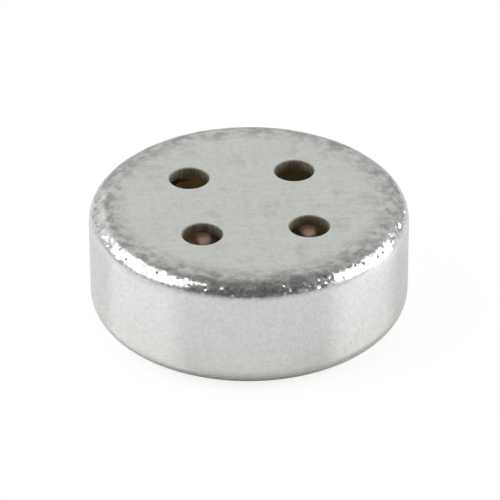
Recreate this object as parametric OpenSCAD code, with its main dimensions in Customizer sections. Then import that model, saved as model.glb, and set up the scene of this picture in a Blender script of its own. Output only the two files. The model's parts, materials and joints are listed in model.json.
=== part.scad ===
// Electret microphone capsule with solder lands, front face up, standing on its rolled rear edge.
// Millimetres. The origin is at the centre of the rear edge's plane, and +Z points out of the front.

/* [Can] */
// Outside diameter of the can
can_d = 6; // [5.2:0.1:10]
// Overall height of the can
can_h = 2.2; // [1.8:0.05:5]
// Thickness of the drawn sheet
sheet_t = 0.2; // [0.1:0.01:0.3]
// Inside radius where the front turns into the wall
front_bend_r = 0.15; // [0.05:0.01:0.3]
// Inside radius of the rear edge, where the wall is rolled over the board
crimp_bend_r = 0.2; // [0.1:0.01:0.25]
// Width of the flat ring that the rear edge stands on
crimp_flat = 0.06; // [0.03:0.01:0.15]
// Height that the tip of the roll turns back up, from the flat to the board that it presses on
crimp_rise = 0.03; // [0.01:0.005:0.05]

/* [Sound ports] */
// Diameter of each port
port_d = 0.75; // [0.3:0.01:1.2]
// Side of the square that the four ports stand on
port_pitch = 2; // [1.3:0.05:2.4]
// Edge break at the mouth of each port
port_edge = 0.02; // [0.01:0.01:0.08]

/* [Diaphragm] */
// Thickness of the ring that carries the film
ring_t = 0.45; // [0.15:0.01:0.6]
// Radial width of the ring
ring_w = 0.55; // [0.3:0.01:0.8]
// Thickness of the metallised film
film_t = 0.012; // [0.01:0.001:0.03]
// Thickness of the spacer, which sets the air gap
spacer_t = 0.04; // [0.02:0.005:0.08]
// How far the spacer laps over the edge of the back plate
spacer_lap = 0.22; // [0.1:0.01:0.4]

/* [Back plate] */
// Thickness of the electret film on the back plate
electret_t = 0.025; // [0.012:0.001:0.05]
// Thickness of the back plate
plate_t = 0.2; // [0.1:0.01:0.3]
// Diameter of the air holes in the back plate
plate_hole_d = 0.45; // [0.2:0.01:0.6]
// Number of air holes
plate_hole_count = 6; // [3:1:8]
// Diameter of the circle that the air holes stand on
plate_hole_pcd = 2.6; // [1.8:0.05:3]

/* [Chamber] */
// Wall of the insulating chamber ring
chamber_wall = 0.35; // [0.2:0.01:0.4]
// Radial width of the gate ring
gate_ring_w = 0.3; // [0.15:0.01:0.4]
// Gap between the stack and the wall of the can
stack_gap = 0.05; // [0.02:0.01:0.1]
// Gap between the chamber ring and what it centres
seat_gap = 0.03; // [0.01:0.01:0.08]

/* [Circuit board] */
// Thickness of the board
board_t = 0.4; // [0.2:0.05:0.6]
// Thickness of the copper on both sides
copper_t = 0.035; // [0.018:0.001:0.05]
// Thickness of the solder mask over the copper
mask_t = 0.02; // [0.01:0.005:0.03]
// Diameter of the two solder lands
land_d = 1.3; // [0.8:0.05:1.5]
// Distance between the centres of the lands
land_pitch = 2.2; // [1.8:0.05:2.4]
// Thickness of the tinning on the lands
land_t = 0.03; // [0.01:0.005:0.05]
// Width of the tracks
track_w = 0.35; // [0.2:0.01:0.5]
// Outside diameter of the plated through holes
via_d = 0.3; // [0.2:0.01:0.4]
// Plating thickness in the through holes
via_wall = 0.06; // [0.03:0.01:0.08]

/* [Transistor] */
// Length of the package
fet_l = 1.2; // [1.1:0.05:1.4]
// Width of the package, without its leads
fet_w = 0.8; // [0.6:0.05:0.9]
// Height of the package
fet_h = 0.38; // [0.3:0.01:0.5]
// Distance between the two leads on one side
fet_pitch = 0.8; // [0.6:0.05:0.85]
// Width of a lead
lead_w = 0.25; // [0.15:0.01:0.3]
// Thickness of a lead
lead_t = 0.12; // [0.08:0.01:0.15]
// How far a lead reaches out of the package
lead_reach = 0.2; // [0.1:0.01:0.25]

/* [Capacitors] */
// Length of a chip capacitor
cap_l = 1; // [0.8:0.05:1.2]
// Width of a chip capacitor
cap_w = 0.5; // [0.3:0.01:0.55]
// Height of a chip capacitor
cap_h = 0.35; // [0.25:0.01:0.5]
// Length of the metal at each end
cap_end_l = 0.25; // [0.15:0.01:0.3]
// Thickness of the metal at each end
cap_end_t = 0.02; // [0.01:0.005:0.03]
// Leg of the solder fillet at a capacitor end
solder_leg = 0.18; // [0.08:0.01:0.22]
// Gap between the rows of components
part_gap = 0.12; // [0.05:0.01:0.2]

/* [Hidden] */
$fn = 96;
// A cut runs this far past the face it opens
through = 0.1;
// Copper margin round a lead or a capacitor end
pad_margin = 0.05;
// Distance kept between a land and the copper round its plated hole
track_gap = 0.15;
// Width of the copper round a plated hole
via_ring_w = 0.12;
// How far the mask laps over the edge of a land
mask_lap = 0.05;
// Gap between the mask and the tip of the roll
mask_gap = 0.03;
// How far the ground copper reaches inwards under the mask
ground_reach = 0.1;
// Directions of the ground spokes, from the ground land to the copper under the roll
ground_spokes = [-40, 0, 40];
// How deep a lead is moulded into the package
lead_root = 0.15;
// Draft of the package, as the share of its base that its top keeps
fet_draft = 0.9;
// Share of its leg that a solder fillet is thick at its thin edges
solder_edge = 0.05;

// Radii, from the outside inwards
can_r = can_d / 2;
front_edge_r = front_bend_r + sheet_t;
crimp_edge_r = crimp_bend_r + sheet_t;
bore_r = can_r - sheet_t;
crimp_turn = acos(1 - crimp_rise / crimp_bend_r);
roll_r = can_r - crimp_edge_r - crimp_flat;
tip_r = roll_r - crimp_edge_r * sin(crimp_turn);
stack_r = bore_r - stack_gap;
ring_bore_r = stack_r - ring_w;
chamber_r = stack_r - chamber_wall;
plate_r = chamber_r - seat_gap;
spacer_bore_r = plate_r - spacer_lap;
gate_bore_r = plate_r - gate_ring_w;
ground_out_r = stack_r - crimp_bend_r * (1 - sin(crimp_turn));
mask_r = tip_r - mask_gap;
ground_in_r = mask_r - ground_reach;
via_r = via_d / 2;
via_ring_r = via_r + via_ring_w;

// Heights, from the rear upwards to the components
copper_rear_z = sheet_t + crimp_rise;
board_z = copper_rear_z + copper_t;
board_top_z = board_z + board_t;
parts_z = board_top_z + copper_t;
mask_z = copper_rear_z - mask_t;
land_z = copper_rear_z - land_t;

// Heights, from the front downwards to the back plate
front_z = can_h - sheet_t;
film_top_z = front_z - ring_t;
film_z = film_top_z - film_t;
spacer_z = film_z - spacer_t;
electret_z = spacer_z - electret_t;
plate_z = electret_z - plate_t;

// Component rows along Y: the transistor with the solder at its leads, then the two capacitors
fet_span = fet_w + 2 * (lead_reach + lead_t);
rows_l = fet_span + 2 * (part_gap + cap_w);
fet_y = (rows_l - fet_span) / 2;
cap_1_y = fet_y - fet_span / 2 - part_gap - cap_w / 2;
cap_2_y = cap_1_y - cap_w - part_gap;

// Two copper rails join the transistor's drain and source to the capacitor ends
rail_in_x = min(fet_pitch / 2 - lead_w / 2, cap_l / 2 - cap_end_l) - pad_margin;
rail_out_x = max(fet_pitch / 2 + lead_w / 2, cap_l / 2 + solder_leg) + pad_margin;
rail_top_y = fet_y - fet_w / 2;
rail_low_y = cap_2_y - cap_w / 2 - pad_margin;
via_x = rail_out_x + pad_margin + via_ring_r;
via_y = (cap_1_y + cap_2_y) / 2;
land_y = via_y + via_ring_r + track_gap + land_d / 2;

// What rounding takes off a corner, with the centre of the arc at the origin
module outer_corner(r) {
    difference() {
        square(r + through);
        circle(r);
    }
}

// Half section of a round body from z_low to z_high, with its two outer corners rounded
module rounded_half(r, z_low, z_high, low_r, high_r) {
    difference() {
        translate([0, z_low]) square([r, z_high - z_low]);
        translate([r - high_r, z_high - high_r]) outer_corner(high_r);
        translate([r - low_r, z_low + low_r]) mirror([0, 1]) outer_corner(low_r);
    }
}

// A disc or ring of the stack, as wide as the gap at the wall and the bends of the can leave it
module stack_ring(inner_r, z_low, z_high) {
    rotate_extrude() intersection() {
        translate([inner_r, z_low]) square([stack_r - inner_r, z_high - z_low]);
        rounded_half(stack_r, sheet_t, front_z, crimp_bend_r, front_bend_r);
    }
}

// A ring that stands clear of the bends
module plain_ring(outer_r, inner_r, z_low, z_high) {
    rotate_extrude() translate([inner_r, z_low]) square([outer_r - inner_r, z_high - z_low]);
}

// Places the children at the four ports
module at_ports() {
    for (x = [-1, 1], y = [-1, 1]) translate([x, y] * port_pitch / 2) children();
}

// Places the children at the air holes of the back plate
module at_plate_holes() {
    for (i = [0 : plate_hole_count - 1])
        rotate(i * 360 / plate_hole_count) translate([plate_hole_pcd / 2, 0]) children();
}

// Places the children at the plated holes of the drain side and the source side
module at_vias() {
    for (side = [-1, 1]) translate([side * via_x, via_y]) children();
}

// The drilling for the plated holes, through a layer from z_low to z_high
module via_drill(z_low, z_high) {
    at_vias() translate([0, 0, z_low - through])
        cylinder(h = z_high - z_low + 2 * through, r = via_r);
}

// A port with its broken edge
module port_cut() {
    port_r = port_d / 2;
    translate([0, 0, front_z - through]) cylinder(h = sheet_t + 2 * through, r = port_r);
    translate([0, 0, can_h - port_edge])
        cylinder(h = port_edge + through, r1 = port_r, r2 = port_r + port_edge + through);
}

// Section of the last stretch of the roll, from the flat up to its tip, centred on its arc
module roll_tip() {
    reach = 2 * crimp_edge_r;
    difference() {
        intersection() {
            circle(crimp_edge_r);
            polygon([[0, 0], [0, -reach], [-reach * tan(crimp_turn), -reach]]);
        }
        circle(crimp_bend_r);
    }
}

// Drawn cup: front, wall and rolled rear edge are one sheet
module can() {
    color("silver") difference() {
        rotate_extrude() {
            difference() {
                rounded_half(can_r, 0, can_h, crimp_edge_r, front_edge_r);
                rounded_half(bore_r, sheet_t, front_z, crimp_bend_r, front_bend_r);
                translate([0, -through]) square([roll_r, sheet_t + 2 * through]);
            }
            translate([roll_r, crimp_edge_r]) roll_tip();
        }
        at_ports() port_cut();
    }
}

// Ring that stretches the film and grounds it to the can
module diaphragm_ring() {
    color("goldenrod") stack_ring(ring_bore_r, film_top_z, front_z);
}

// Metallised film, glued under the ring
module diaphragm_film() {
    color("rosybrown") stack_ring(0, film_z, film_top_z);
}

// Thin ring that holds the film off the electret
module spacer_ring() {
    color("wheat") stack_ring(spacer_bore_r, spacer_z, film_z);
}

// A perforated disc of the fixed electrode
module perforated_disc(z_low, z_high) {
    difference() {
        translate([0, 0, z_low]) cylinder(h = z_high - z_low, r = plate_r);
        at_plate_holes() translate([0, 0, z_low - through])
            cylinder(h = z_high - z_low + 2 * through, d = plate_hole_d);
    }
}

// Charged film on the face of the back plate
module electret_film() {
    color("lightcyan") perforated_disc(electret_z, spacer_z);
}

// Fixed electrode, clamped between the spacer and the gate ring
module back_plate() {
    color("khaki") perforated_disc(plate_z, electret_z);
}

// Insulating ring that keeps the back plate and the gate ring off the can
module chamber_ring() {
    color("ivory") stack_ring(chamber_r, board_top_z, spacer_z);
}

// Contact ring from the board's gate track up to the back plate
module gate_ring() {
    color("gold") plain_ring(plate_r, gate_bore_r, parts_z, plate_z);
}

// Board that closes the rear, drilled for the plated holes
module circuit_board() {
    color("darkgreen") difference() {
        stack_ring(0, board_z, board_top_z);
        via_drill(board_z, board_top_z);
    }
}

// One rail of the component side, with its branch to the plated hole
module rail_shape() {
    translate([rail_in_x, rail_low_y]) square([rail_out_x - rail_in_x, rail_top_y - rail_low_y]);
    translate([rail_in_x, via_y - track_w / 2]) square([via_x - rail_in_x, track_w]);
    translate([via_x, via_y]) circle(via_ring_r);
}

// Gate track: the annulus under the gate ring, with a tongue to the gate lead
module gate_shape() {
    tongue_w = lead_w + 2 * pad_margin;
    tongue_y = fet_y + fet_w / 2;
    difference() {
        circle(plate_r);
        circle(gate_bore_r);
    }
    translate([-tongue_w / 2, tongue_y]) square([tongue_w, gate_bore_r + gate_ring_w / 2 - tongue_y]);
}

// Etched copper on the component side
module component_copper() {
    color("peru") difference() {
        translate([0, 0, board_top_z]) linear_extrude(copper_t) {
            gate_shape();
            rail_shape();
            mirror([1, 0]) rail_shape();
        }
        via_drill(board_top_z, parts_z);
    }
}

// A land of the terminal side with the track to its plated hole
module land_shape() {
    translate([land_pitch / 2, land_y]) circle(d = land_d);
    translate([via_x, via_y]) circle(via_ring_r);
    translate([via_x - track_w / 2, via_y]) square([track_w, land_y - via_y]);
}

// Ground copper: the annulus that the roll presses on, with spokes to the ground land
module ground_shape() {
    difference() {
        circle(ground_out_r);
        circle(ground_in_r);
    }
    intersection() {
        circle((ground_in_r + ground_out_r) / 2);
        for (turn = ground_spokes) translate([land_pitch / 2, land_y]) rotate(turn)
            translate([0, -track_w / 2]) square([ground_out_r, track_w]);
    }
}

// Copper pattern of the terminal side
module terminal_shape() {
    ground_shape();
    land_shape();
    mirror([1, 0]) land_shape();
}

// Etched copper on the terminal side
module terminal_copper() {
    color("peru") difference() {
        translate([0, 0, copper_rear_z]) linear_extrude(copper_t) terminal_shape();
        via_drill(copper_rear_z, board_z);
    }
}

// Plating that joins both sides through the board
module via_barrels() {
    color("peru") at_vias() plain_ring(via_r, via_r - via_wall, copper_rear_z, parts_z);
}

// The bare part of a land, inside the lap of the mask: side is -1 or 1 along X
module land_disc(side, z_low, h) {
    translate([side * land_pitch / 2, land_y, z_low]) cylinder(h = h, r = land_d / 2 - mask_lap);
}

// Lacquer on the terminal side, level over the copper and open at the two lands
module solder_mask() {
    color("seagreen") difference() {
        translate([0, 0, mask_z]) cylinder(h = board_z - mask_z, r = mask_r);
        translate([0, 0, copper_rear_z]) linear_extrude(copper_t + through) terminal_shape();
        for (side = [-1, 1]) land_disc(side, mask_z - through, mask_t + 2 * through);
    }
}

// Tinned land that carries the signal
module output_land() {
    color("lightgray") land_disc(-1, land_z, land_t);
}

// Tinned land that is joined to the can
module ground_land() {
    color("lightgray") land_disc(1, land_z, land_t);
}

// Places the children at the three leads: the gate alone, then the drain and the source
module at_leads() {
    translate([0, fet_y]) {
        children();
        for (side = [-1, 1]) translate([side * fet_pitch / 2, 0]) rotate(180) children();
    }
}

// One flat lead, from its root in the package to its tip
module lead() {
    translate([-lead_w / 2, fet_w / 2 - lead_root, parts_z])
        cube([lead_w, lead_root + lead_reach, lead_t]);
}

// Moulded package with drafted sides, standing on its leads
module fet_body() {
    color("dimgray") difference() {
        translate([0, fet_y, parts_z]) linear_extrude(fet_h, scale = fet_draft)
            square([fet_l, fet_w], center = true);
        at_leads() lead();
    }
}

// The three leads
module fet_leads() {
    color("lightgray") at_leads() lead();
}

// Ceramic block of a chip capacitor, inside its two metal ends
module cap_block(y) {
    skin = 2 * cap_end_t;
    translate([0, y, parts_z + cap_h / 2])
        cube([cap_l - skin, cap_w - skin, cap_h - skin], center = true);
}

// Metal end caps of a chip capacitor
module cap_ends(y) {
    difference() {
        for (side = [-1, 1]) translate([side * (cap_l - cap_end_l) / 2, y, parts_z + cap_h / 2])
            cube([cap_end_l, cap_w, cap_h], center = true);
        cap_block(y);
    }
}

module capacitor_1_body() { color("tan") cap_block(cap_1_y); }
module capacitor_1_ends() { color("lightgray") cap_ends(cap_1_y); }
module capacitor_2_body() { color("tan") cap_block(cap_2_y); }
module capacitor_2_ends() { color("lightgray") cap_ends(cap_2_y); }

// A concave solder fillet against a face at y = 0, spreading along +Y
module fillet(w, leg) {
    translate([-w / 2, 0, parts_z]) rotate([90, 0, 90]) linear_extrude(w) difference() {
        square(leg);
        translate([leg, leg]) circle(leg * (1 - solder_edge));
    }
}

// Solder in front of the three leads and the four capacitor ends
module solder_fillets() {
    color("silver") {
        at_leads() translate([0, fet_w / 2 + lead_reach]) fillet(lead_w, lead_t);
        for (y = [cap_1_y, cap_2_y], side = [-1, 1])
            translate([side * cap_l / 2, y]) rotate(-90 * side) fillet(cap_w, solder_leg);
    }
}

can();
diaphragm_ring();
diaphragm_film();
spacer_ring();
electret_film();
back_plate();
chamber_ring();
gate_ring();
circuit_board();
component_copper();
terminal_copper();
via_barrels();
solder_mask();
output_land();
ground_land();
fet_body();
fet_leads();
capacitor_1_body();
capacitor_1_ends();
capacitor_2_body();
capacitor_2_ends();
solder_fillets();
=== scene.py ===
import json
import math

import bmesh
import bpy
from mathutils import Matrix, Quaternion, Vector, noise
from mathutils.geometry import delaunay_2d_cdt


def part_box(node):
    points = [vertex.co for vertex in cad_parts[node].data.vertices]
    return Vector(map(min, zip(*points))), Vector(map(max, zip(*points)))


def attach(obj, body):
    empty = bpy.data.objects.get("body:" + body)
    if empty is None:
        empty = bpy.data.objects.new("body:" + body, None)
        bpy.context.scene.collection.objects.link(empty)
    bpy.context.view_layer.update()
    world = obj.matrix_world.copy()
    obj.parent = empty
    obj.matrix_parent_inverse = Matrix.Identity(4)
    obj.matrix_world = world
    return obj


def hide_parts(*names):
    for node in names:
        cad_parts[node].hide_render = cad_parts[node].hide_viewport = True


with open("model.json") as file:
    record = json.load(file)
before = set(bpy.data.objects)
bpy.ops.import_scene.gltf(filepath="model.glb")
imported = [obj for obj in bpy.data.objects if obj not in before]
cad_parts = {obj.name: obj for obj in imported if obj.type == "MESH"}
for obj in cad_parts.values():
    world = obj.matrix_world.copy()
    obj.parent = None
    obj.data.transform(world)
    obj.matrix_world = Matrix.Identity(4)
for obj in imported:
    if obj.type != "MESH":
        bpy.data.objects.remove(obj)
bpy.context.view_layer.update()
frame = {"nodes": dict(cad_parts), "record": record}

# Lengths are in millimetres and angles in degrees. MM turns a length into the frame's metres.
MM = 0.001

# Sizes of the can that the frame's boxes don't give
FRONT_BEND_R = 0.15
CRIMP_BEND_R = 0.2
CRIMP_FLAT = 0.06
CRIMP_RISE = 0.03
PORT_R = 0.375
PORT_PITCH = 2.0
PORT_EDGE = 0.02

# Fineness of the can's mesh: points round the can and round a port, and rows along each stretch of sheet
SEGMENTS = 960
PORT_SEGMENTS = 128
FACE_ROWS = 12
BEND_ROWS = 28
WALL_ROWS = 7
ROLL_ROWS = 11
TIP_ROWS = 4
TIP_INSIDE_ROWS = 3
ROLL_INSIDE_ROWS = 6
BEND_INSIDE_ROWS = 5
MOUTH_ROWS = 5

# Rows of a port's wall as shares of the sheet, the grid that fills the flats and the fill's tolerance,
# and the angle from which an edge is sharp
PORT_DEPTHS = (0.3, 0.6, 1.0)
GRID_STEP = 0.12
FILL_TOLERANCE = 1e-7
SHARP_ANGLE = 40

# Stretch grain of the front bend: where it starts on the face, how far above the top of the wall it ends,
# its height, the sizes of its two noises with the share of the fine one, and by how many heights it is sunk
GRAIN_IN_R = 2.4
GRAIN_ABOVE_WALL = (0.06, 0.2)
GRAIN_HEIGHT = 0.0015
GRAIN_COARSE = 0.12
GRAIN_FINE = 0.06
GRAIN_FINE_SHARE = 0.6
GRAIN_SINK = 1.0

# Crystals of the bend that catch the light: their size, how far they tilt, how rare the strong ones are,
# a shift along X, and the wobble of their edges: how many to a crystal, and its depth as a share of the size
FACET_SIZE = 0.06
FACET_TILT = 2.6
FACET_RARITY = 4.0
FACET_SHIFT = 1.7
FACET_WOBBLE = (1.5, 0.6)

# Zones of the can, as the span over which each one fades: by how far the surface faces up (UP),
# by radius (R), by height (Z), or by depth in a port as a share of the sheet (DEPTH)
FACE_UP = (0.95, 0.999)
RING_UP = (0.6, 0.95)
RING_R = (2.25, 2.65)
LOW_BEND_UP = (0.75, 0.97)
FACETS_UP = (0.35, 0.6)
BRIGHT_FROM_UP = (0.08, 0.3)
BRIGHT_TO_UP = (0.7, 0.9)
INSIDE_UP = (-0.5, -0.2)
INSIDE_Z = (1.4, 1.6)
LOW_WALL_Z = (0.3, 1.0)
# Painted shade: below this height the rear edge is darkened where the floor's contact shades it
REAR_EDGE_SHADE_Z = (0.15, 0.4)
PORT_DEPTH = (0.0, 0.004)
# Depth over which the ports' painted shade deepens to its darkest
TORN_SHADE_DEPTH = (0.0, 0.9)

# Colours of the can's zones
FACE_COLOR = (0.88, 0.905, 0.855, 1)
WALL_COLOR = (0.83, 0.835, 0.825, 1)
LOW_WALL_COLOR = (0.82, 0.835, 0.795, 1)
# Painted shade of the floor's contact on the rear edge, darker and greener than the wall
REAR_EDGE_SHADE_COLOR = (0.57, 0.595, 0.53, 1)
INSIDE_COLOR = (0.88, 0.9, 0.8, 1)
DIRT_COLOR = (0.42, 0.43, 0.41, 1)
# Painted shade: the ports' walls are darker than the metal, and darkest deep down in their torn part
PUNCHED_SHADE_COLOR = (0.44, 0.43, 0.37, 1)
TORN_SHADE_COLOR = (0.26, 0.225, 0.16, 1)

# Noise is given as size, detail and stretch, and NOISE_SPAN is the usual range of its values
NOISE_SPAN = (0.3, 0.7)

# Dirt on the can, as a noise, the span of it that shows, and how dirty it gets: blotches in the dark ring
# (as size, stretch and detail), smudges on the face, specks (elsewhere and on the bend), and rolling lines
BLOTCH = (0.15, 1.6, 4.0)
BLOTCH_SPAN = (0.4, 0.65)
BLOTCH_DIRT = (0.14, 0.88)
SMUDGE = (0.4, 5.0)
SMUDGE_SPAN = (0.55, 0.75)
SMUDGE_DIRT = 0.28
SPECK = (0.07, 3.0)
SPECK_SPAN = (0.4, 0.65)
SPECK_DIRT = (0.16, 0.7)
LINES_ALONG_X = (0.07, 2.0, (0.06, 1, 1))
LINES_ALONG_Y = (0.07, 2.0, (1, 0.06, 1))
LINES_DIRT = 0.08

# Torn lower part of the ports' walls, where their painted shade is darkest: its noise, and how far up and
# down this moves it
TORN = (0.06, 3.0, (1, 1, 0.3))
TORN_REACH = 0.55

# Roughness of the can's zones and its variation
WALL_ROUGHNESS = 0.25
FACE_ROUGHNESS = 0.42
BEND_ROUGHNESS = 0.2
PORT_ROUGHNESS = 0.65
CAN_SHINE = (0.3, 4.0)
CAN_SHINE_SPREAD = (-0.03, 0.05)

# Bump of the can: the face turned down a little toward the bend, and a fine grain
TURN_DOWN_R = (2.15, 2.9)
TURN_DOWN_DEPTH = 0.045
FINE_GRAIN = (0.03, 2.0)
FINE_GRAIN_DEPTH = 0.0006

# Film: its coat, spots and olive rim, a fine crease, and its roughness
FILM_COLOR = (0.97, 0.62, 0.54, 1)
FILM_RIM_COLOR = (0.86, 0.84, 0.7, 1)
FILM_RIM_R = (1.3, 1.8)
FILM_RIM_STAIN = 0.9
FILM_SPOTS = (0.25, 4.0)
FILM_SPOTS_SPAN = (0.45, 0.7)
FILM_SPOTS_STAIN = 0.25
FILM_CREASE = 0.3
FILM_CREASE_DEPTH = 0.002
FILM_SHINE = (0.2, 4.0)
FILM_ROUGHNESS = (0.2, 0.27)
FILM_SHEEN_TINT = (0.75, 0.8, 0.6, 1)

# Slackness of the film, whole inside the first radius and less from the second on, toward its glued rim:
# the share left there, waves along X and Y as length, depth and phase in radians, and the normal's lean
FILM_SLACK_R = (1.5, 1.8)
FILM_RIM_SLACK = 0.55
FILM_WAVES = {"X": (1.0, 0.08, 0.93), "Y": (1.4, 0.03, 2.11)}
FILM_LEAN = (-0.23, 0.107, 0.0)

# Plain metals: the stain's noise, span and most, the variation of roughness, and the grain.
# Each has its colour, stain colour and roughness, and the tin also its own size and depth of grain.
METAL_STAIN = (0.4, 5.0)
METAL_STAIN_SPAN = (0.45, 0.75)
METAL_STAIN_MOST = 0.6
METAL_SHINE = (0.2, 4.0)
METAL_SHINE_SPREAD = (-0.05, 0.08)
METAL_GRAIN = 0.08
METAL_GRAIN_DEPTH = 0.0006
METALS = {
    "ring_brass": ((0.8, 0.72, 0.5, 1), (0.6, 0.53, 0.36, 1), 0.3),
    "plate_brass": ((0.78, 0.62, 0.36, 1), (0.55, 0.42, 0.22, 1), 0.35),
    "copper": ((0.78, 0.42, 0.28, 1), (0.5, 0.25, 0.16, 1), 0.32),
    "tin": ((0.82, 0.81, 0.78, 1), (0.66, 0.66, 0.63, 1), 0.22, 0.4, 0.012),
    "solder": ((0.74, 0.75, 0.75, 1), (0.6, 0.61, 0.62, 1), 0.22),
}

# Plastics, laminate and ceramic: noise of the tone, variation of roughness, and grain.
# Each has its two tones and its roughness.
PLASTIC_TONE = (0.3, 4.0)
PLASTIC_SHINE = (0.15, 3.0)
PLASTIC_SHINE_SPREAD = (-0.05, 0.07)
PLASTIC_GRAIN = 0.1
PLASTIC_GRAIN_DEPTH = 0.001
PLASTICS = {
    "spacer_plastic": ((0.8, 0.7, 0.5, 1), (0.7, 0.6, 0.4, 1), 0.45),
    "electret_polymer": ((0.8, 0.84, 0.85, 1), (0.7, 0.75, 0.76, 1), 0.25),
    "chamber_plastic": ((0.84, 0.82, 0.75, 1), (0.74, 0.72, 0.66, 1), 0.5),
    "board_laminate": ((0.38, 0.4, 0.18, 1), (0.3, 0.32, 0.12, 1), 0.5),
    "package_epoxy": ((0.02, 0.02, 0.022, 1), (0.035, 0.035, 0.036, 1), 0.55),
    "capacitor_ceramic": ((0.5, 0.36, 0.24, 1), (0.42, 0.29, 0.19, 1), 0.4),
}

# Rear mask: the copper under it, drawn with a soft edge, and the weave of the laminate
MASK_LAP = 0.05
VIA_RING_W = 0.12
TRACK_W = 0.35
GROUND_REACH = 0.1
GROUND_SPOKES = (-40, 0, 40)
SOFT_EDGE = 0.015
COPPER_STEP = 0.006
WEAVE = 0.3
WEAVE_SHARE = 0.5
MASK_DARK_COLOR = (0.012, 0.11, 0.045, 1)
MASK_LIGHT_COLOR = (0.02, 0.15, 0.065, 1)
MASK_ON_COPPER_COLOR = (0.05, 0.25, 0.1, 1)
MASK_ROUGHNESS = (0.2, 0.32)

# Camera, as the photograph was taken: the centre of the can lies at CENTRE_PX of a 500 x 500 frame
PHOTO_SIZE_PX = 500
CENTRE_PX = (249.0, 251.6)
PX_PER_MM = 53.1
CAMERA_AZIMUTH = -7.5
CAMERA_ELEVATION = 32.4
CAMERA_ROLL = 0.25
CAMERA_DISTANCE = 80.0
SENSOR_W = 36.0
CLIP_NEAR = 1.0
CLIP_FAR = 20000.0

# Softboxes: azimuth from the camera's side (positive to the right), elevation, roll, width, height, radiance
SOFTBOX_DISTANCE = 45.0
SOFTBOXES = {
    "softbox_left": (-86, 40, 16, 44, 36, 2.3),
    "softbox_right": (90, 26, -27, 42, 34, 2.4),
    "fill_left": (-138, 20, 0, 33, 30, 0.25),
}

# Room: its grey levels from the horizon (0) to overhead (1) in front and behind, the azimuth of its front,
# and how softly the two halves meet
ROOM_FRONT = ((0.0, 0.75), (0.12, 0.7), (0.3, 0.3), (0.45, 0.13), (0.8, 0.17), (1.0, 0.27))
ROOM_BEHIND = ((0.0, 0.5), (0.25, 0.62), (0.5, 0.69), (0.73, 0.56), (0.9, 0.43), (1.0, 0.27))
ROOM_FRONT_AZIMUTH = -10
ROOM_SEAM = 0.35
WHITE = (1, 1, 1, 1)

# The floor's white for each kind of ray: its own glow, its lit share, which takes the shadow, and its sheen.
# Where a ray is of two kinds, the one further down the list counts.
FLOOR_PLAIN = {"glow": 0.0, "lit": 0.8, "sheen": 0.0}
FLOOR_MIRRORED = {"glow": 0.04, "lit": 0.82, "sheen": 0.125}
FLOOR_CAMERA = {"glow": 0.83, "lit": 0.25, "sheen": 0.0}
FLOOR_BY_RAY = {
    "Is Glossy Ray": FLOOR_MIRRORED,
    "Is Transmission Ray": FLOOR_MIRRORED,
    "Is Camera Ray": FLOOR_CAMERA,
}
FLOOR_SHEEN_ROUGHNESS = 0.15
FLOOR_R = 1000.0
FLOOR_SEGMENTS = 96

# Sizes of the can that follow from the frame
can_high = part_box("can")[1]
CAN_R = can_high.x / MM
CAN_H = can_high.z / MM
SHEET_T = (can_high.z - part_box("diaphragm_ring")[1].z) / MM
FRONT_EDGE_R = FRONT_BEND_R + SHEET_T
CRIMP_EDGE_R = CRIMP_BEND_R + SHEET_T
FRONT_CENTRE = (CAN_R - FRONT_EDGE_R, CAN_H - FRONT_EDGE_R)
ROLL_CENTRE = (CAN_R - CRIMP_EDGE_R, CRIMP_EDGE_R)
TIP_CENTRE = (ROLL_CENTRE[0] - CRIMP_FLAT, CRIMP_EDGE_R)
CRIMP_TURN = math.degrees(math.acos(1 - CRIMP_RISE / CRIMP_BEND_R))
PORT_CENTRES = [(x * PORT_PITCH / 2, y * PORT_PITCH / 2) for x in (-1, 1) for y in (-1, 1)]

# Places of the rear copper that follow from the frame
ground_low, ground_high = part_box("ground_land")
via_low, via_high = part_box("via_barrels")
LAND_X = (ground_low.x + ground_high.x) / 2 / MM
LAND_Y = (ground_low.y + ground_high.y) / 2 / MM
LAND_COPPER_R = (ground_high.x - ground_low.x) / 2 / MM + MASK_LAP
VIA_R = (via_high.y - via_low.y) / 2 / MM
VIA_X = via_high.x / MM - VIA_R
VIA_Y = (via_low.y + via_high.y) / 2 / MM
VIA_COPPER_R = VIA_R + VIA_RING_W
GROUND_IN_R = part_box("solder_mask")[1].x / MM - GROUND_REACH


def smoothstep(low, high, x):
    """0 below low, 1 above high, and smooth between."""
    t = min(1.0, max(0.0, (x - low) / (high - low)))
    return t * t * (3 - 2 * t)


def arc(centre, radius, start, end, steps):
    """Points (r, z) with their outward direction, along an arc of the can's section."""
    rows = []
    for i in range(steps + 1):
        angle = math.radians(start + (end - start) * i / steps)
        out = (math.cos(angle), math.sin(angle))
        rows.append((centre[0] + radius * out[0], centre[1] + radius * out[1], out))
    return rows


def line(start, end, steps, out):
    """Points (r, z) with their outward direction, along a straight stretch, without its last point."""
    rows = []
    for i in range(steps):
        t = i / steps
        rows.append((start[0] + (end[0] - start[0]) * t, start[1] + (end[1] - start[1]) * t, out))
    return rows


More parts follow.
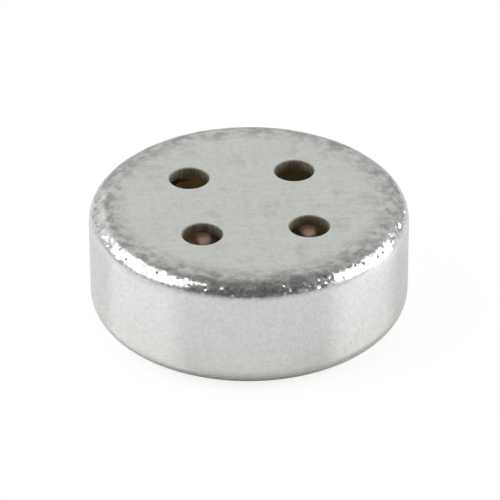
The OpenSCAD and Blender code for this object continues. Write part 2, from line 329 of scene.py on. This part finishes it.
def can_section():
    """The section of the sheet, from the flat front face over the outside to the inside of the front."""
    face = line((GRAIN_IN_R, CAN_H), (FRONT_CENTRE[0], CAN_H), FACE_ROWS, (0, 1))
    bend = arc(FRONT_CENTRE, FRONT_EDGE_R, 90, 0, BEND_ROWS)
    wall = line((CAN_R, FRONT_CENTRE[1]), (CAN_R, CRIMP_EDGE_R), WALL_ROWS, (1, 0))[1:]
    roll = arc(ROLL_CENTRE, CRIMP_EDGE_R, 0, -90, ROLL_ROWS)
    tip = arc(TIP_CENTRE, CRIMP_EDGE_R, -90, -90 - CRIMP_TURN, TIP_ROWS)
    outside = face + bend + wall + roll + tip
    tip_inside = arc(TIP_CENTRE, CRIMP_BEND_R, -90 - CRIMP_TURN, -90, TIP_INSIDE_ROWS)
    roll_inside = arc(ROLL_CENTRE, CRIMP_BEND_R, -90, 0, ROLL_INSIDE_ROWS)
    bend_inside = arc(FRONT_CENTRE, FRONT_BEND_R, 0, 90, BEND_INSIDE_ROWS)
    return outside + tip_inside + roll_inside + bend_inside


def grain_share(r, z):
    """How much of the stretch grain a point of the section has, from 0 to 1."""
    if z < CAN_H - 2 * FRONT_EDGE_R or r < GRAIN_IN_R:
        return 0.0
    wall_top = FRONT_CENTRE[1]
    on_face = smoothstep(GRAIN_IN_R, FRONT_CENTRE[0], r)
    on_wall = smoothstep(wall_top + GRAIN_ABOVE_WALL[0], wall_top + GRAIN_ABOVE_WALL[1], z)
    return on_face * on_wall


def grain_height(x, y, z):
    """Height of the stretch grain at a point, never above the plain form."""
    point = Vector((x, y, z))
    coarse = noise.noise(point / GRAIN_COARSE)
    fine = noise.noise(point / GRAIN_FINE)
    return min(0.0, GRAIN_HEIGHT * (coarse + GRAIN_FINE_SHARE * fine - GRAIN_SINK))


def bridge(bm, rings):
    """Joins each ring of vertices to the next with quads."""
    for one, two in zip(rings, rings[1:]):
        count = len(one)
        for j in range(count):
            k = (j + 1) % count
            bm.faces.new((one[j], two[j], two[k], one[k]))


def add_lathe(bm, section, grain_layer):
    """Turns the section about Z, with the stretch grain, and returns its rings of vertices."""
    rings = []
    for r, z, out in section:
        share = grain_share(r, z)
        ring = []
        for j in range(SEGMENTS):
            angle = 2 * math.pi * j / SEGMENTS
            c, s = math.cos(angle), math.sin(angle)
            lift = share * grain_height(r * c, r * s, z) if share else 0.0
            rr, zz = r + out[0] * lift, z + out[1] * lift
            vert = bm.verts.new((rr * c * MM, rr * s * MM, zz * MM))
            vert[grain_layer] = share
            ring.append(vert)
        rings.append(ring)
    bridge(bm, rings)
    return rings


def add_ring(bm, centre, r, z, count):
    """A level ring of vertices round a centre (x, y)."""
    ring = []
    for j in range(count):
        angle = 2 * math.pi * j / count
        x, y = centre[0] + r * math.cos(angle), centre[1] + r * math.sin(angle)
        ring.append(bm.verts.new((x * MM, y * MM, z * MM)))
    return ring


def add_port(bm, centre, port_layer):
    """The wall of one port with its rounded mouth; returns its upper ring and its lower ring."""
    mouth = arc((PORT_R + PORT_EDGE, CAN_H - PORT_EDGE), PORT_EDGE, 90, 180, MOUTH_ROWS)
    rows = [(r, (CAN_H - z) / SHEET_T) for r, z, _ in mouth]
    rows += [(PORT_R, depth) for depth in PORT_DEPTHS]
    rings = []
    for r, depth in rows:
        ring = add_ring(bm, centre, r, CAN_H - depth * SHEET_T, PORT_SEGMENTS)
        for vert in ring:
            vert[port_layer] = depth
        rings.append(ring)
    bridge(bm, rings)
    return rings[0], rings[-1]


def nearest_port(x, y):
    """Distance from a point to the axis of the nearest port."""
    return min(math.hypot(x - cx, y - cy) for cx, cy in PORT_CENTRES)


def grid_points(limit_r, port_r):
    """Points of an even grid inside limit_r and outside the ports."""
    points = []
    margin = GRID_STEP / 2
    count = int(limit_r / GRID_STEP) + 1
    for i in range(-count, count + 1):
        for j in range(-count, count + 1):
            x, y = i * GRID_STEP, j * GRID_STEP
            if math.hypot(x, y) < limit_r - margin and nearest_port(x, y) > port_r + margin:
                points.append((x, y))
    return points


def fill_flat(bm, outer, port_rings, z, limit_r, port_r):
    """Fills the flat between the outer ring and the ports with triangles."""
    verts = []
    edges = []
    for ring in (outer, *port_rings):
        first, count = len(verts), len(ring)
        edges += [(first + i, first + (i + 1) % count) for i in range(count)]
        verts.extend(ring)
    for x, y in grid_points(limit_r, port_r):
        verts.append(bm.verts.new((x * MM, y * MM, z * MM)))
    flat = [Vector((v.co.x / MM, v.co.y / MM)) for v in verts]
    _, _, faces, origin, _, _ = delaunay_2d_cdt(flat, edges, [], 0, FILL_TOLERANCE)
    for face in faces:
        corners = [verts[origin[i][0]] for i in face]
        middle = sum((v.co for v in corners), Vector()) / (len(corners) * MM)
        if nearest_port(middle.x, middle.y) >= port_r:
            bm.faces.new(corners)


def can_mesh():
    """The drawn can as one closed mesh, finer than the frame's own."""
    bm = bmesh.new()
    for name in ("grain", "port"):
        bm.verts.layers.float.new(name)
    grain_layer = bm.verts.layers.float["grain"]
    port_layer = bm.verts.layers.float["port"]
    rings = add_lathe(bm, can_section(), grain_layer)
    ports = [add_port(bm, centre, port_layer) for centre in PORT_CENTRES]
    upper = [port[0] for port in ports]
    lower = [port[1] for port in ports]
    fill_flat(bm, rings[0], upper, CAN_H, GRAIN_IN_R, PORT_R + PORT_EDGE)
    fill_flat(bm, rings[-1], lower, CAN_H - SHEET_T, FRONT_CENTRE[0], PORT_R)
    bmesh.ops.recalc_face_normals(bm, faces=bm.faces)
    mesh = bpy.data.meshes.new("drawn_can")
    bm.to_mesh(mesh)
    bm.free()
    mesh.polygons.foreach_set("use_smooth", [True] * len(mesh.polygons))
    mesh.set_sharp_from_angle(angle=math.radians(SHARP_ANGLE))
    return mesh


def make_can(material):
    """The can that is seen, in place of the frame's own."""
    mesh = can_mesh()
    mesh.materials.append(material)
    can = bpy.data.objects.new("drawn_can", mesh)
    bpy.context.scene.collection.objects.link(can)
    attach(can, "root")
    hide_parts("can")


class Graph:
    """The nodes of a material or of the world, with short ways to add and join them."""

    def __init__(self, owner):
        owner.use_nodes = True
        self.nodes = owner.node_tree.nodes
        self.links = owner.node_tree.links

    def add(self, kind, inputs=None, **settings):
        """A new node, with its inputs by name or number, and its settings."""
        node = self.nodes.new(kind)
        for name, value in settings.items():
            setattr(node, name, value)
        for name, value in (inputs or {}).items():
            self.join(value, node.inputs[name])
        return node

    def join(self, value, socket):
        """Links another node's output to a socket, or sets the socket to a plain value."""
        if isinstance(value, bpy.types.NodeSocket):
            self.links.new(value, socket)
        else:
            socket.default_value = value

    def math(self, operation, a, b=0.0):
        """A number worked out from one or two numbers."""
        return self.add("ShaderNodeMath", {0: a, 1: b}, operation=operation).outputs[0]

    def plus(self, a, b):
        """Sum of two numbers."""
        return self.math("ADD", a, b)

    def minus(self, a, b):
        """Difference of two numbers."""
        return self.math("SUBTRACT", a, b)

    def times(self, a, b):
        """Product of two numbers."""
        return self.math("MULTIPLY", a, b)

    def vector(self, operation, a, b=(0.0, 0.0, 0.0)):
        """A vector worked out from one or two vectors."""
        return self.add("ShaderNodeVectorMath", {0: a, 1: b}, operation=operation).outputs["Vector"]

    def vector_number(self, operation, a, b=(0.0, 0.0, 0.0)):
        """A number worked out from one or two vectors."""
        return self.add("ShaderNodeVectorMath", {0: a, 1: b}, operation=operation).outputs["Value"]

    def remap(self, value, from_low, from_high, to_low, to_high, course="LINEAR"):
        """Moves a value from one range to another, and keeps it there."""
        ends = {"Value": value, 1: from_low, 2: from_high, 3: to_low, 4: to_high}
        node = self.add("ShaderNodeMapRange", ends, clamp=True, interpolation_type=course)
        return node.outputs["Result"]

    def rise(self, value, low, high):
        """0 below low, 1 above high."""
        return self.remap(value, low, high, 0.0, 1.0)

    def fall(self, value, low, high):
        """1 below low, 0 above high."""
        return self.remap(value, low, high, 1.0, 0.0)

    def total(self, *values):
        """Sum of several numbers, from 0 to 1."""
        result = values[0]
        for value in values[1:]:
            result = self.plus(result, value)
        return self.rise(result, 0.0, 1.0)

    def blend(self, factor, one, two):
        """Colour between two others, the second at a factor of 1."""
        colors = {0: factor, 6: one, 7: two}
        return self.add("ShaderNodeMix", colors, data_type="RGBA").outputs[2]

    def number_blend(self, factor, one, two):
        """Number between two others, the second at a factor of 1."""
        numbers = {0: factor, 2: one, 3: two}
        return self.add("ShaderNodeMix", numbers, data_type="FLOAT").outputs[0]

    def ramp(self, value, stops):
        """Grey by a value from 0 to 1, with its stops as (position, level)."""
        node = self.add("ShaderNodeValToRGB", {"Fac": value})
        elements = node.color_ramp.elements
        while len(elements) < len(stops):
            elements.new(0.5)
        for element, (position, level) in zip(elements, stops):
            element.position = position
            element.color = (level, level, level, 1)
        return node.outputs["Color"]


class Surface(Graph):
    """A material of the part, with its patterns measured in the shared frame."""

    def __init__(self, name):
        self.material = bpy.data.materials.new(name)
        super().__init__(self.material)
        self.shader = self.nodes["Principled BSDF"]
        self.place = self.add("ShaderNodeTexCoord").outputs["Object"]

    def attribute(self, name):
        """A number that the mesh carries at its vertices."""
        return self.add("ShaderNodeAttribute", attribute_name=name).outputs["Fac"]

    def coordinates(self):
        """Place along X, Y and Z in millimetres, by name."""
        scaled = self.vector("MULTIPLY", self.place, (1 / MM,) * 3)
        return self.add("ShaderNodeSeparateXYZ", {0: scaled}).outputs

    def radius(self):
        """Distance from the can's axis in millimetres."""
        return self.vector_number("LENGTH", self.vector("MULTIPLY", self.place, (1 / MM, 1 / MM, 0)))

    def length(self, x, y):
        """Length of a flat vector."""
        return self.vector_number("LENGTH", self.add("ShaderNodeCombineXYZ", {"X": x, "Y": y}).outputs[0])

    def below(self, value, limit):
        """1 where a value in millimetres is below the limit and 0 elsewhere, with a soft edge."""
        return self.fall(value, limit - SOFT_EDGE, limit + SOFT_EDGE)

    def above(self, value, limit):
        """0 where a value in millimetres is below the limit and 1 elsewhere, with a soft edge."""
        return self.minus(1.0, self.below(value, limit))

    def noise(self, size, detail=3.0, stretch=(1, 1, 1)):
        """Noise from 0 to 1, with features of about that size, longer along an axis with a small stretch."""
        scaled = self.add("ShaderNodeMapping", {"Vector": self.place, "Scale": stretch}).outputs[0]
        pattern = {"Vector": scaled, "Scale": 1 / (size * MM), "Detail": detail}
        return self.add("ShaderNodeTexNoise", pattern).outputs["Fac"]

    def ring_noise(self, size, stretch, detail):
        """Noise from 0 to 1, drawn out along circles about the can's axis."""
        circle = (CAN_R / stretch, CAN_R / stretch, 0)
        unit = self.vector("NORMALIZE", self.vector("MULTIPLY", self.place, (1, 1, 0)))
        outward = self.add("ShaderNodeCombineXYZ", {"Z": self.radius()}).outputs[0]
        place = self.vector("ADD", self.vector("MULTIPLY", unit, circle), outward)
        pattern = {"Vector": place, "Scale": 1 / size, "Detail": detail}
        return self.add("ShaderNodeTexNoise", pattern).outputs["Fac"]

    def spread(self, pattern, low, high):
        """Draws out the usual range of a noise to one from low to high."""
        return self.remap(pattern, *NOISE_SPAN, low, high)

    def wave(self, axis, length, phase=0.0):
        """Sine from -1 to 1 along an axis, with its length from crest to crest in millimetres."""
        turn = self.times(self.coordinates()[axis], 2 * math.pi / length)
        return self.math("SINE", self.plus(turn, phase))

    def bump(self, height, depth, normal=None, strength=1.0):
        """Surface normal from a height of 0 to 1 and a depth in millimetres."""
        node = self.add("ShaderNodeBump", {"Height": height, "Strength": strength, "Distance": depth * MM})
        if normal is not None:
            self.join(normal, node.inputs["Normal"])
        return node.outputs["Normal"]

    def facets(self, size, tilt, normal):
        """Tilts the normal in each crystal of about that size, strongly in only a few."""
        fineness, depth = FACET_WOBBLE
        wobble = self.add("ShaderNodeTexNoise", {"Vector": self.place, "Scale": fineness / (size * MM)})
        bent = self.vector("MULTIPLY", wobble.outputs["Color"], (depth * size * MM,) * 3)
        shifted = self.vector("ADD", self.place, (FACET_SHIFT * MM, 0.0, 0.0))
        moved = self.vector("ADD", shifted, bent)
        cells = self.add("ShaderNodeTexVoronoi", {"Vector": moved, "Scale": 1 / (size * MM)})
        centred = self.vector("SUBTRACT", cells.outputs["Color"], (0.5,) * 3)
        reach = self.vector_number("LENGTH", centred)
        rare = self.times(self.math("POWER", reach, FACET_RARITY), tilt)
        scaled = self.add("ShaderNodeVectorMath", {0: centred, "Scale": rare}, operation="SCALE")
        return self.vector("NORMALIZE", self.vector("ADD", normal, scaled.outputs["Vector"]))

    def finish(self, color, roughness, normal, metallic=0.0):
        """Joins what was made to the shader and returns the material."""
        self.join(color, self.shader.inputs["Base Color"])
        self.join(roughness, self.shader.inputs["Roughness"])
        self.join(normal, self.shader.inputs["Normal"])
        self.shader.inputs["Metallic"].default_value = metallic
        return self.material


def can_zones(g):
    """Numbers from 0 to 1 that say in which zones of the can a point lies, and how deep in a port."""
    facing = g.add("ShaderNodeNewGeometry").outputs["True Normal"]
    up = g.add("ShaderNodeSeparateXYZ", {0: facing}).outputs["Z"]
    height = g.coordinates()["Z"]
    grain = g.attribute("grain")
    depth = g.attribute("port")
    low_bend = g.times(grain, g.fall(up, *LOW_BEND_UP))
    turned = g.times(g.rise(up, *BRIGHT_FROM_UP), g.fall(up, *BRIGHT_TO_UP))
    return {
        "face": g.rise(up, *FACE_UP),
        "ring": g.times(g.rise(g.radius(), *RING_R), g.rise(up, *RING_UP)),
        "low_bend": low_bend,
        "facets": g.times(low_bend, g.rise(up, *FACETS_UP)),
        "bright": g.math("MAXIMUM", grain, turned),
        "low_wall": g.fall(height, *LOW_WALL_Z),
        # Mask of the painted shade at the rear edge, next to the floor
        "rear_edge_shade": g.fall(height, *REAR_EDGE_SHADE_Z),
        "inside": g.times(g.fall(up, *INSIDE_UP), g.rise(height, *INSIDE_Z)),
        "port": g.rise(depth, *PORT_DEPTH),
        "port_depth": depth,
    }


def can_dirt(g, zones):
    """How dirty the can is, from 0 to 1."""
    ring = g.times(zones["ring"], g.remap(g.ring_noise(*BLOTCH), *BLOTCH_SPAN, *BLOTCH_DIRT))
    smudge = g.times(zones["face"], g.remap(g.noise(*SMUDGE), *SMUDGE_SPAN, 0.0, SMUDGE_DIRT))
    speck_dirt = g.number_blend(zones["low_bend"], *SPECK_DIRT)
    speck = g.times(g.rise(g.noise(*SPECK), *SPECK_SPAN), speck_dirt)
    lines = [g.spread(g.noise(*pattern), 0.0, LINES_DIRT) for pattern in (LINES_ALONG_Y, LINES_ALONG_X)]
    return g.total(ring, smudge, speck, *lines)


def can_color(g, zones):
    """Colour of the can: its clean metal with painted shade at its rear edge, the dirt on it, and the
    punched walls of its ports painted dark with shade, darkest in their torn lower part.
    """
    drawn = g.blend(zones["low_wall"], WALL_COLOR, LOW_WALL_COLOR)
    # Painted shade: the wall is darkened at its rear edge, next to the floor
    wall = g.blend(zones["rear_edge_shade"], drawn, REAR_EDGE_SHADE_COLOR)
    clean = g.blend(zones["face"], wall, FACE_COLOR)
    worn = g.blend(can_dirt(g, zones), clean, DIRT_COLOR)
    sheet = g.blend(zones["inside"], worn, INSIDE_COLOR)
    torn = g.plus(zones["port_depth"], g.spread(g.noise(*TORN), -TORN_REACH, TORN_REACH))
    # Painted shade: the ports' walls are darkened, most in their torn lower part
    punched = g.blend(g.rise(torn, *TORN_SHADE_DEPTH), PUNCHED_SHADE_COLOR, TORN_SHADE_COLOR)
    return g.blend(zones["port"], sheet, punched)


def can_roughness(g, zones):
    """Roughness of the can: satin on its wall and face, brighter on its bends, dull in its ports."""
    satin = g.number_blend(zones["face"], WALL_ROUGHNESS, FACE_ROUGHNESS)
    sheet = g.number_blend(zones["bright"], satin, BEND_ROUGHNESS)
    rough = g.number_blend(zones["port"], sheet, PORT_ROUGHNESS)
    return g.plus(rough, g.spread(g.noise(*CAN_SHINE), *CAN_SHINE_SPREAD))


def can_normal(g, zones):
    """Surface normal of the can: the turned-down face, a fine grain and the crystals of the bend."""
    turn_down = g.remap(g.radius(), *TURN_DOWN_R, 1.0, 0.0, "SMOOTHSTEP")
    rolled = g.bump(turn_down, TURN_DOWN_DEPTH)
    fine = g.bump(g.noise(*FINE_GRAIN), FINE_GRAIN_DEPTH, rolled)
    return g.facets(FACET_SIZE, g.times(zones["facets"], FACET_TILT), fine)


def can_aluminium():
    """Drawn aluminium: matte rolled face, bright grainy bend, satin wall, punched ports painted dark with
    shade.
    """
    g = Surface("can_aluminium")
    zones = can_zones(g)
    return g.finish(can_color(g, zones), can_roughness(g, zones), can_normal(g, zones), 1.0)


def metal(name, color, stain_color, roughness, grain=METAL_GRAIN, depth=METAL_GRAIN_DEPTH):
    """Plain metal with stains and a fine grain."""
    g = Surface(name)
    stain = g.remap(g.noise(*METAL_STAIN), *METAL_STAIN_SPAN, 0.0, METAL_STAIN_MOST)
    smoothest, roughest = [roughness + change for change in METAL_SHINE_SPREAD]
    rough = g.spread(g.noise(*METAL_SHINE), smoothest, roughest)
    return g.finish(g.blend(stain, color, stain_color), rough, g.bump(g.noise(grain), depth), 1.0)


def plastic(name, color, shade, roughness):
    """Plain plastic, laminate or ceramic with a faint grain."""
    g = Surface(name)
    tone = g.spread(g.noise(*PLASTIC_TONE), 0.0, 1.0)
    smoothest, roughest = [roughness + change for change in PLASTIC_SHINE_SPREAD]
    rough = g.spread(g.noise(*PLASTIC_SHINE), smoothest, roughest)
    return g.finish(g.blend(tone, color, shade), rough, g.bump(g.noise(PLASTIC_GRAIN), PLASTIC_GRAIN_DEPTH))


def film_normal(g):
    """Surface normal of the slack film."""
    slack = g.remap(g.radius(), *FILM_SLACK_R, 1.0, FILM_RIM_SLACK)
    waved = g.bump(g.noise(FILM_CREASE), FILM_CREASE_DEPTH)
    for axis, (length, depth, phase) in FILM_WAVES.items():
        height = g.remap(g.wave(axis, length, phase), -1.0, 1.0, 0.0, 1.0)
        waved = g.bump(height, depth, waved, slack)
    lean = g.vector("MULTIPLY", FILM_LEAN, slack)
    return g.vector("NORMALIZE", g.vector("ADD", waved, lean))


def metallised_film():
    """Copper-coloured coat on a thin slack film, olive toward its rim."""
    g = Surface("metallised_film")
    spots = g.remap(g.noise(*FILM_SPOTS), *FILM_SPOTS_SPAN, 0.0, FILM_SPOTS_STAIN)
    rim = g.remap(g.radius(), *FILM_RIM_R, 0.0, FILM_RIM_STAIN)
    color = g.blend(g.total(spots, rim), FILM_COLOR, FILM_RIM_COLOR)
    rough = g.spread(g.noise(*FILM_SHINE), *FILM_ROUGHNESS)
    g.shader.inputs["Sheen Weight"].default_value = 1.0
    g.shader.inputs["Sheen Tint"].default_value = FILM_SHEEN_TINT
    return g.finish(color, rough, film_normal(g), 1.0)


def ground_spokes(g, land_x, land_y):
    """Tracks from the ground land out to the ground, each 1 where its copper lies and 0 elsewhere."""
    spokes = []
    for turn in GROUND_SPOKES:
        c, s = math.cos(math.radians(turn)), math.sin(math.radians(turn))
        out = g.plus(g.times(land_x, c), g.times(land_y, s))
        aside = g.minus(g.times(land_y, c), g.times(land_x, s))
        on_track = g.below(g.math("ABSOLUTE", aside), TRACK_W / 2)
        spokes.append(g.times(on_track, g.above(out, 0.0)))
    return spokes


def copper_under_mask(g):
    """1 where the copper of the lands, tracks and ground lies under the mask, and 0 elsewhere."""
    place = g.coordinates()
    either_x = g.math("ABSOLUTE", place["X"])
    land_y = g.minus(place["Y"], LAND_Y)
    via_x = g.minus(either_x, VIA_X)
    via_y = g.minus(place["Y"], VIA_Y)
    land = g.below(g.length(g.minus(either_x, LAND_X), land_y), LAND_COPPER_R)
    via = g.below(g.length(via_x, via_y), VIA_COPPER_R)
    between = g.times(g.below(land_y, 0.0), g.above(via_y, 0.0))
    track = g.times(g.below(g.math("ABSOLUTE", via_x), TRACK_W / 2), between)
    ground = g.above(g.radius(), GROUND_IN_R)
    spokes = ground_spokes(g, g.minus(place["X"], LAND_X), land_y)
    copper = land
    for shape in (via, track, ground, *spokes):
        copper = g.math("MAXIMUM", copper, shape)
    return copper


def mask_lacquer():
    """Green lacquer: lighter over the copper, and over the laminate with its weave faintly seen."""
    g = Surface("mask_lacquer")
    copper = copper_under_mask(g)
    threads = g.times(g.wave("X", WEAVE), g.wave("Y", WEAVE))
    weave = g.remap(threads, -1.0, 1.0, 0.0, WEAVE_SHARE)
    cloud = g.plus(weave, g.spread(g.noise(*PLASTIC_TONE), 0.0, 1.0 - WEAVE_SHARE))
    laminate = g.blend(cloud, MASK_DARK_COLOR, MASK_LIGHT_COLOR)
    color = g.blend(copper, laminate, MASK_ON_COPPER_COLOR)
    rough = g.spread(g.noise(*PLASTIC_SHINE), *MASK_ROUGHNESS)
    stepped = g.bump(copper, COPPER_STEP)
    return g.finish(color, rough, g.bump(g.noise(PLASTIC_GRAIN), PLASTIC_GRAIN_DEPTH, stepped))


def slot_materials():
    """The material of each slot of the record."""
    made = {
        "can_aluminium": can_aluminium(),
        "metallised_film": metallised_film(),
        "mask_lacquer": mask_lacquer(),
    }
    for name, values in METALS.items():
        made[name] = metal(name, *values)
    for name, values in PLASTICS.items():
        made[name] = plastic(name, *values)
    return made


def dress_nodes(materials):
    """Gives each node of the frame the material of its slot."""
    for row in frame["record"]["subparts"]:
        mesh = frame["nodes"][row["node"]].data
        mesh.materials.clear()
        mesh.materials.append(materials[row["material_slot"]])


def toward(azimuth, elevation):
    """Direction from the can at an azimuth from the camera's side, positive to the right."""
    a = math.radians(CAMERA_AZIMUTH + azimuth)
    e = math.radians(elevation)
    return Vector((math.sin(a) * math.cos(e), -math.cos(a) * math.cos(e), math.sin(e)))


def add_softbox(name, azimuth, elevation, roll, width, height, radiance):
    """A flat rectangular lamp that faces the can."""
    light = bpy.data.lights.new(name, "AREA")
    light.shape = "RECTANGLE"
    light.size = width * MM
    light.size_y = height * MM
    light.energy = radiance * math.pi * light.size * light.size_y
    box = bpy.data.objects.new(name, light)
    direction = toward(azimuth, elevation)
    box.location = direction * SOFTBOX_DISTANCE * MM
    box.rotation_mode = "QUATERNION"
    box.rotation_quaternion = direction.to_track_quat("Z", "Y") @ Quaternion((0, 0, 1), math.radians(roll))
    bpy.context.scene.collection.objects.link(box)


def make_world():
    """A pale room, white where the camera sees it: in front bright low down and dark above, grey behind."""
    world = bpy.data.worlds.new("room")
    bpy.context.scene.world = world
    g = Graph(world)
    place = g.add("ShaderNodeTexCoord").outputs["Generated"]
    up = g.add("ShaderNodeSeparateXYZ", {0: place}).outputs["Z"]
    ahead = g.vector_number("DOT_PRODUCT", place, toward(ROOM_FRONT_AZIMUTH, 0))
    in_front = g.remap(ahead, -ROOM_SEAM, ROOM_SEAM, 0.0, 1.0, "SMOOTHSTEP")
    room = g.blend(in_front, g.ramp(up, ROOM_BEHIND), g.ramp(up, ROOM_FRONT))
    seen = g.add("ShaderNodeLightPath").outputs["Is Camera Ray"]
    g.join(g.blend(seen, room, WHITE), g.nodes["Background"].inputs["Color"])


def by_ray(g, share):
    """One of the floor's shares, picked by the kind of ray that sees it."""
    path = g.add("ShaderNodeLightPath")
    picked = FLOOR_PLAIN[share]
    for ray, shares in FLOOR_BY_RAY.items():
        picked = g.number_blend(path.outputs[ray], picked, shares[share])
    return picked


def floor_white():
    """White that takes the shadow from above and is clear from below."""
    material = bpy.data.materials.new("floor_white")
    g = Graph(material)
    g.nodes.remove(g.nodes["Principled BSDF"])
    glow = g.add("ShaderNodeEmission", {"Strength": by_ray(g, "glow")})
    lit = g.add("ShaderNodeBsdfDiffuse", {"Color": by_ray(g, "lit")})
    sheen = g.add("ShaderNodeBsdfGlossy", {"Color": by_ray(g, "sheen"), "Roughness": FLOOR_SHEEN_ROUGHNESS})
    matte = g.add("ShaderNodeAddShader", {0: glow.outputs[0], 1: lit.outputs[0]})
    white = g.add("ShaderNodeAddShader", {0: matte.outputs[0], 1: sheen.outputs[0]})
    clear = g.add("ShaderNodeBsdfTransparent")
    from_below = g.add("ShaderNodeNewGeometry").outputs["Backfacing"]
    sides = {0: from_below, 1: white.outputs[0], 2: clear.outputs[0]}
    one_sided = g.add("ShaderNodeMixShader", sides)
    g.join(one_sided.outputs[0], g.nodes["Material Output"].inputs["Surface"])
    return material


def make_floor():
    """Floor that is open under the part, to show the rear."""
    bm = bmesh.new()
    bridge(bm, [add_ring(bm, (0, 0), r, 0, FLOOR_SEGMENTS) for r in (TIP_CENTRE[0], CAN_R, FLOOR_R)])
    mesh = bpy.data.meshes.new("floor")
    bm.to_mesh(mesh)
    bm.free()
    mesh.materials.append(floor_white())
    floor = bpy.data.objects.new("floor", mesh)
    bpy.context.scene.collection.objects.link(floor)


def camera_place():
    """Where the camera stands and how it is turned, with the can's centre at CENTRE_PX."""
    azimuth, roll = math.radians(CAMERA_AZIMUTH), math.radians(CAMERA_ROLL)
    back = toward(0, CAMERA_ELEVATION)
    level_right = Vector((math.cos(azimuth), math.sin(azimuth), 0))
    level_up = back.cross(level_right)
    right = level_right * math.cos(roll) - level_up * math.sin(roll)
    up = level_right * math.sin(roll) + level_up * math.cos(roll)
    aside = (PHOTO_SIZE_PX / 2 - CENTRE_PX[0]) / PX_PER_MM
    above = (CENTRE_PX[1] - PHOTO_SIZE_PX / 2) / PX_PER_MM
    aim = Vector((0, 0, CAN_H / 2)) + right * aside + up * above
    turn = Matrix((right, up, back)).transposed().to_4x4()
    return Matrix.Translation((aim + back * CAMERA_DISTANCE) * MM) @ turn


def add_camera():
    """Camera at the photograph's viewing angle and framing."""
    data = bpy.data.cameras.new("camera")
    data.sensor_width = SENSOR_W
    data.lens = PX_PER_MM * CAMERA_DISTANCE / PHOTO_SIZE_PX * SENSOR_W
    data.clip_start = CLIP_NEAR * MM
    data.clip_end = CLIP_FAR * MM
    camera = bpy.data.objects.new("camera", data)
    bpy.context.scene.collection.objects.link(camera)
    camera.matrix_world = camera_place()
    bpy.context.scene.camera = camera


bpy.context.scene.view_settings.view_transform = "Standard"
materials = slot_materials()
dress_nodes(materials)
make_can(materials["can_aluminium"])
for softbox, values in SOFTBOXES.items():
    add_softbox(softbox, *values)
make_world()
make_floor()
add_camera()
